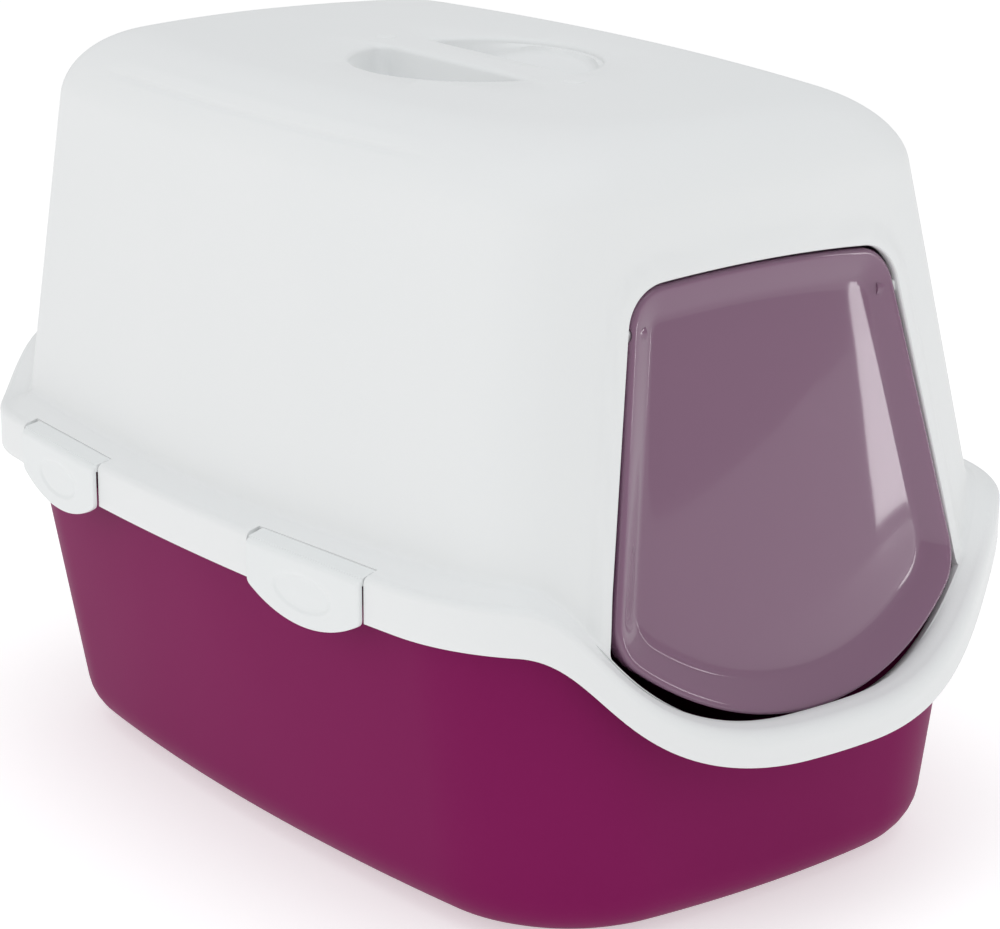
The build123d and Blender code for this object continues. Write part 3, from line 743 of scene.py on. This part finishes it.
hood.data.materials.append(white)

# Door: one bowed dish pressed from clear smoky plastic, sunk inside a narrow edge, with a rim turned back all
# round. It hangs from two short sleeves on the hood's pins and swings both ways.
FLAP_GAP, FLAP_WALL, FLAP_BOTTOM_Z, FLAP_FOOT_Z, FLAP_BOW = 1.6, 2.0, 113.6, 160.0, 660.0
FLAP_PROUD_TOP, FLAP_PROUD_FOOT, FLAP_BACK, FLAP_EDGE = 1.0, 11.5, 9.0, 2.6
DISH_EDGE, DISH_WIDTH, DISH_FALL, DISH_AT_TOP, DISH_SOFT = 2.5, 13.0, 0.85, 0.55, (5.0, 3.0)
FLAP_CORNER, FLAP_MIDDLE, NOTCH_REACH, BORE_GAP = 12.0, (0.0, 222.0), 20.0, 0.12
SLEEVE_RADIUS, SLEEVE_REACH, NOTCH_RADIUS = 4.2, (75.0, 83.5), 4.8
flap_foot_half = DOOR_SIDE_LOW[0] - FLAP_GAP - (FLAP_FOOT_Z - DOOR_SIDE_LOW[1]) * DOOR_SLOPE
foot_rise = FLAP_FOOT_Z - FLAP_BOTTOM_Z
foot_radius = (flap_foot_half**2 + foot_rise**2) / (2 * foot_rise)


def foot_distance(x, z):
    """How far points lie below the flap's round foot."""
    return np.hypot(x, z - FLAP_BOTTOM_Z - foot_radius) - foot_radius


def flap_distance(x, z):
    """How far points lie outside the flap's outline."""
    return rounded_max(door_distance(x, z) + FLAP_GAP, foot_distance(x, z), FLAP_CORNER)


def wall_y(z):
    """Y of the hood's front wall at the middle."""
    return HOOD_LOW[1] + (HOOD_HIGH[1] - HOOD_LOW[1]) * (z - HOOD_LOW_Z) / (HOOD_HIGH_Z - HOOD_LOW_Z)


def flap_face(x, z):
    """Y of the flap's outer face: bowed across, prouder towards the foot, pressed in as a dish inside
    its edge."""
    share = (DOOR_TOP_Z - z) / (DOOR_TOP_Z - FLAP_BOTTOM_Z)
    inside = -flap_distance(x, z) - DISH_EDGE
    beyond = inside - DISH_WIDTH
    wide = (inside + np.sqrt(inside**2 + DISH_SOFT[0]) - beyond - np.sqrt(beyond**2 + DISH_SOFT[1])) / 2
    dish = DISH_FALL * (DISH_AT_TOP + (1 - DISH_AT_TOP) * share) * wide
    proud = FLAP_PROUD_TOP + (FLAP_PROUD_FOOT - FLAP_PROUD_TOP) * share
    return wall_y(z) - proud + x**2 / (2 * FLAP_BOW) + dish


def flap_row(inset, set_back, drop):
    """A ring of the flap at an inset of its outline: set back from the face, or where a drop is given, that
    share of the way from the back edge to the face."""
    x, z = outline_by_rays(flap_distance, FLAP_MIDDLE, inset, 190).T
    if drop is None:
        return np.column_stack((x, flap_face(x, z) + set_back, z))
    edge = outline_by_rays(flap_distance, FLAP_MIDDLE, 0.0, 190)
    back_y = wall_y(z) + FLAP_BACK
    return np.column_stack((x, back_y + (flap_face(*edge.T) + FLAP_EDGE - back_y) * drop, z))


flap_rings = [flap_row(0.5, 0, 0.0), flap_row(0.15, 0, 0.0), flap_row(0.0, 0, 0.1)]
flap_rings += [flap_row(0.0, 0, share) for share in (0.4, 0.7, 1.0)]
for turn in np.radians((20, 40, 60, 75, 90)):
    flap_rings.append(flap_row(FLAP_EDGE * (1 - cos(turn)), FLAP_EDGE * (1 - sin(turn)), None))
face_insets = (
    4, 6, 8, 10, 11.5, 12.5, 13.5, 14.3, 15, 15.7, 16.5, 17.5, 19, 21, 24, 28, 33, 39, 46, 54, 63, 73, 84, 92
)
flap_rings += [flap_row(inset, 0, None) for inset in face_insets]
middle_of_face = np.array((0.0, flap_face(*np.array(FLAP_MIDDLE)), FLAP_MIDDLE[1]))
flap_rings += towards(flap_rings[-1], middle_of_face, (1.0,))
back = towards(flap_rings[-2], middle_of_face, (1.0,))
back += [flap_row(inset, 0, None) for inset in face_insets[::-1]]
back = [ring + (0, FLAP_WALL, 0) for ring in back]
inner_edge = FLAP_EDGE * 0.4
for turn in np.radians((90, 60, 30)):
    inset, set_back = FLAP_WALL + inner_edge * (1 - cos(turn)), FLAP_WALL + inner_edge * (1 - sin(turn))
    back.append(flap_row(inset, set_back, None))
back += [flap_row(FLAP_WALL, 0, share) for share in (0.7, 0.4, 0.1)]
back += [flap_row(FLAP_WALL - 0.15, 0, 0.0), flap_row(0.5, 0, 0.0)]
flap = ringed("door_flap", flap_rings + back)
carve(flap, [cross_rod("sleeve", side, *SLEEVE_REACH, SLEEVE_RADIUS) for side in (-1, 1)], "UNION")
hollows = [
    cross_rod("notch", side, SLEEVE_REACH[1], SLEEVE_REACH[1] + NOTCH_REACH, NOTCH_RADIUS) for side in (-1, 1)
]
hollows += [cross_rod("bore", side, PIN_REACH[0] - 0.5, 90, PIN_RADIUS + BORE_GAP) for side in (-1, 1)]
carve(flap, hollows, "DIFFERENCE")
softened(flap, 38)
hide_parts("flap")
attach(flap, "flap")

# Smoky clear plastic, pressed against a polished mould: light passes through a grey-mauve haze, and the
# glassy surface shows the lamps sharply, with the faint long waves of a thin pressing.
RIPPLE_SIZE, RIPPLE_HEIGHT = 0.045, 0.3 * MM
smoky = bpy.data.materials.new("smoky_clear_plastic_polished")
smoky.use_nodes = True
tree, shader = smoky.node_tree, smoky.node_tree.nodes["Principled BSDF"]
for socket, value in (
    ("Base Color", linear("#9A6F8E")), ("Transmission Weight", 0.42), ("Roughness", 0.05), ("IOR", 1.52),
    ("Coat Weight", 0.4), ("Coat Roughness", 0.02),
):
    shader.inputs[socket].default_value = value
place = node(tree, "ShaderNodeTexCoord").outputs["Object"]
ripple = node(tree, "ShaderNodeTexNoise", {"Scale": 1 / RIPPLE_SIZE, "Detail": 1.0}, {"Vector": place})
wavy = node(
    tree, "ShaderNodeBump", {"Strength": 0.25, "Distance": RIPPLE_HEIGHT}, {"Height": ripple.outputs["Fac"]}
)
tree.links.new(wavy.outputs["Normal"], shader.inputs["Normal"])
flap.data.materials.append(smoky)

# Latches: four clips moulded in white polypropylene. Each is a D-shaped plate whose top rolls back into a
# barrel with a pin at each end, and a sunk oval shows where to press it. It turns outwards on the hood's rim.
LATCH_TOP_Z, LATCH_TAB_Z, LATCH_TIP_Z, LATCH_PROUD, LATCH_BACK = 187.4, 164.0, 151.5, 2.6, 0.3
LATCH_TOP_ROUND, LATCH_EDGE, LATCH_THICKNESS = 4.0, 1.0, 2.2
BARREL_Z, BARREL_IN, BARREL_RADIUS, LATCH_PIN = 184.6, 5.0, 3.5, 2.0
WEB_GAP, WEB_RISE, LATCH_PIN_LENGTH = 0.25, 2.1, 6.0
NOSE = (-30.0, 169.5, -3.3), (30.0, 172.5, 0.6), 0.5
OVAL_Z, OVAL_SIZE, OVAL_DEPTH = 168.8, (22.0, 9.6), 0.75
tab_rise = LATCH_TAB_Z - LATCH_TIP_Z
tab_radius = ((LATCH_WIDTH / 2)**2 + tab_rise**2) / (2 * tab_rise)


def latch_distance(along, z):
    """How far points lie outside a latch's D."""
    box = rounded_max(np.abs(along) - LATCH_WIDTH / 2, z - LATCH_TOP_Z, 1.5)
    return rounded_max(box, np.hypot(along, z - LATCH_TIP_Z - tab_radius) - tab_radius, 2.0)


def latch_front(z):
    """The plate's face, which rolls back towards the top."""
    over = np.clip(z - (LATCH_TOP_Z - LATCH_TOP_ROUND), 0, LATCH_TOP_ROUND)
    return LATCH_PROUD - LATCH_TOP_ROUND + np.sqrt(LATCH_TOP_ROUND**2 - over**2)


def oval(scale):
    """The oval of the thumb mark, at a scale given as a change of its half sizes."""
    a, b = OVAL_SIZE[0] + scale, OVAL_SIZE[1] + scale
    radius = a * b / np.hypot(b * np.cos(RAYS), a * np.sin(RAYS))
    return np.stack((radius * np.cos(RAYS), OVAL_Z + radius * np.sin(RAYS)), axis=1)


def plate_row(points, set_back):
    """A ring of the plate's face, behind it by a set-back."""
    return np.column_stack((points, latch_front(points[:, 1]) - set_back))


latch_centre = (0.0, OVAL_Z)
at_centre = np.tile(latch_centre, (len(RAYS), 1))
latch_rings = [raised(at_centre, LATCH_BACK)]
for inset in (8, 3, 0):
    ring = outline_by_rays(latch_distance, latch_centre, inset, 80)
    latch_rings.append(raised(ring, np.minimum(LATCH_BACK, latch_front(ring[:, 1]) - LATCH_THICKNESS)))
for turn in np.radians((0, 25, 50, 70, 90)):
    ring = outline_by_rays(latch_distance, latch_centre, LATCH_EDGE * (1 - cos(turn)), 80)
    latch_rings.append(plate_row(ring, LATCH_EDGE * (1 - sin(turn))))
for inset in (2, 3, 4, 5, 6):
    latch_rings.append(plate_row(outline_by_rays(latch_distance, latch_centre, inset, 80), 0))
last_edge = latch_rings[-1][:, :2]
for share in (0.4, 0.8):
    latch_rings.append(plate_row(last_edge + (oval(1.6) - last_edge) * share, 0))
for scale, set_back in ((0.9, 0), (0.2, 0.12), (-0.6, 0.55), (-1.4, OVAL_DEPTH), (-3.5, 0.7), (-7.5, 0.62)):
    latch_rings.append(plate_row(oval(scale), set_back))
latch_rings.append(plate_row(at_centre, 0.6))
latch = ringed("latch_plate", latch_rings)
half = LATCH_WIDTH / 2
barrel = rod("barrel", (-half, BARREL_Z, -BARREL_IN), (half, BARREL_Z, -BARREL_IN), BARREL_RADIUS)
web_low = (0.02 - half, BARREL_Z - 1.0, WEB_GAP - SLOT_DEPTH)
web = block("web", web_low, (half - 0.02, LATCH_TOP_Z - 0.1, 0.2))
for vertex in web.data.vertices:
    if vertex.co.y > BARREL_Z * MM and vertex.co.z < 0:
        vertex.co.y += WEB_RISE * MM
pin_end = half + LATCH_PIN_LENGTH
pins = rod("pins", (-pin_end, BARREL_Z, -BARREL_IN), (pin_end, BARREL_Z, -BARREL_IN), LATCH_PIN)
nose = block("nose", *NOSE)
carve(latch, [web, barrel, pins, nose], "UNION")
softened(latch, 35)
clip_white = moulded_polypropylene("white_polypropylene_clip", "#E9EBEB", "#E6E9E9", 0.42, 1.2, 0.25, 0.35)
latch.data.materials.append(clip_white)
for side, side_name in ((-1, "left"), (1, "right")):
    for y, end_name in zip(LATCH_PLACES, ("front", "rear")):
        name = f"latch_{end_name}_{side_name}"
        clip = latch.copy()
        clip.data = latch.data.copy()
        clip.name = clip.data.name = f"clip_{end_name}_{side_name}"
        bpy.context.scene.collection.objects.link(clip)
        clip.data.transform(latch_frame(side, y))
        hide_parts(name)
        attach(clip, name)
bpy.data.objects.remove(latch)

# Room: a plain pale floor with a little light of its own, one wide panel at the left, one overhead, and a
# narrow strip at the right that shows in the flap's gloss.
VIEW_AZIMUTH, VIEW_ELEVATION, VIEW_DISTANCE, VIEW_ROLL = -37.714, 16.887, 1.68336, 0.3
VIEW_LENS, SENSOR, VIEW_OFFSET = 111.08, 36.0, Vector((-1.19, -7.29, -22.56)) * MM
low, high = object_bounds()
middle = (low + high) / 2


def direction(azimuth, elevation):
    """The way from the object to an azimuth, counted from the front, and an elevation, in degrees."""
    turn, rise = radians(azimuth), radians(elevation)
    return Vector((sin(turn) * cos(rise), -cos(turn) * cos(rise), sin(rise)))


away = direction(VIEW_AZIMUTH, VIEW_ELEVATION)
bpy.ops.object.camera_add(location=middle + VIEW_OFFSET + away * VIEW_DISTANCE)
camera = bpy.context.object
roll = Matrix.Rotation(radians(VIEW_ROLL), 4, "Z").to_quaternion()
camera.rotation_euler = (away.to_track_quat("Z", "Y") @ roll).to_euler()
camera.data.lens, camera.data.sensor_width = VIEW_LENS, SENSOR
camera.data.clip_start, camera.data.clip_end = 0.05, 50.0
bpy.context.scene.camera = camera

bpy.ops.object.select_all(action="DESELECT")
bpy.ops.mesh.primitive_plane_add(size=40)
floor = bpy.context.object
floor.name = floor.data.name = "floor"
paper = bpy.data.materials.new("matt_white_floor")
paper.use_nodes = True
sheen = paper.node_tree.nodes["Principled BSDF"]
for socket, value in (
    ("Base Color", linear("#E0E0E0")), ("Roughness", 0.9),
    ("Emission Color", linear("#FFFFFF")), ("Emission Strength", 0.5),
):
    sheen.inputs[socket].default_value = value
floor.data.materials.append(paper)


def softbox(name, azimuth, elevation, distance, size, power, colour):
    """A soft lamp that looks at the middle of the object from an azimuth and an elevation."""
    way = direction(azimuth, elevation)
    bpy.ops.object.light_add(type="AREA", location=middle + way * distance)
    lamp = bpy.context.object
    lamp.name = name
    lamp.rotation_euler = way.to_track_quat("Z", "Y").to_euler()
    lamp.data.shape, lamp.data.size, lamp.data.size_y = "RECTANGLE", *size
    lamp.data.energy, lamp.data.color = power, linear(colour)[:3]


softbox("panel_left", -100, 20, 2.6, (2.0, 1.8), 5.5, "#FFFFFF")
softbox("panel_overhead", -30, 78, 2.4, (2.2, 2.2), 15.0, "#F6FAFF")
softbox("strip_right", 51, 10, 2.4, (0.16, 1.2), 2.4, "#FFFFFF")
world = bpy.data.worlds.new("soft_studio")
bpy.context.scene.world = world
world.use_nodes = True
world.node_tree.nodes["Background"].inputs["Color"].default_value = (1, 1, 1, 1)
world.node_tree.nodes["Background"].inputs["Strength"].default_value = 0.66
bpy.context.scene.view_settings.view_transform = "Standard"
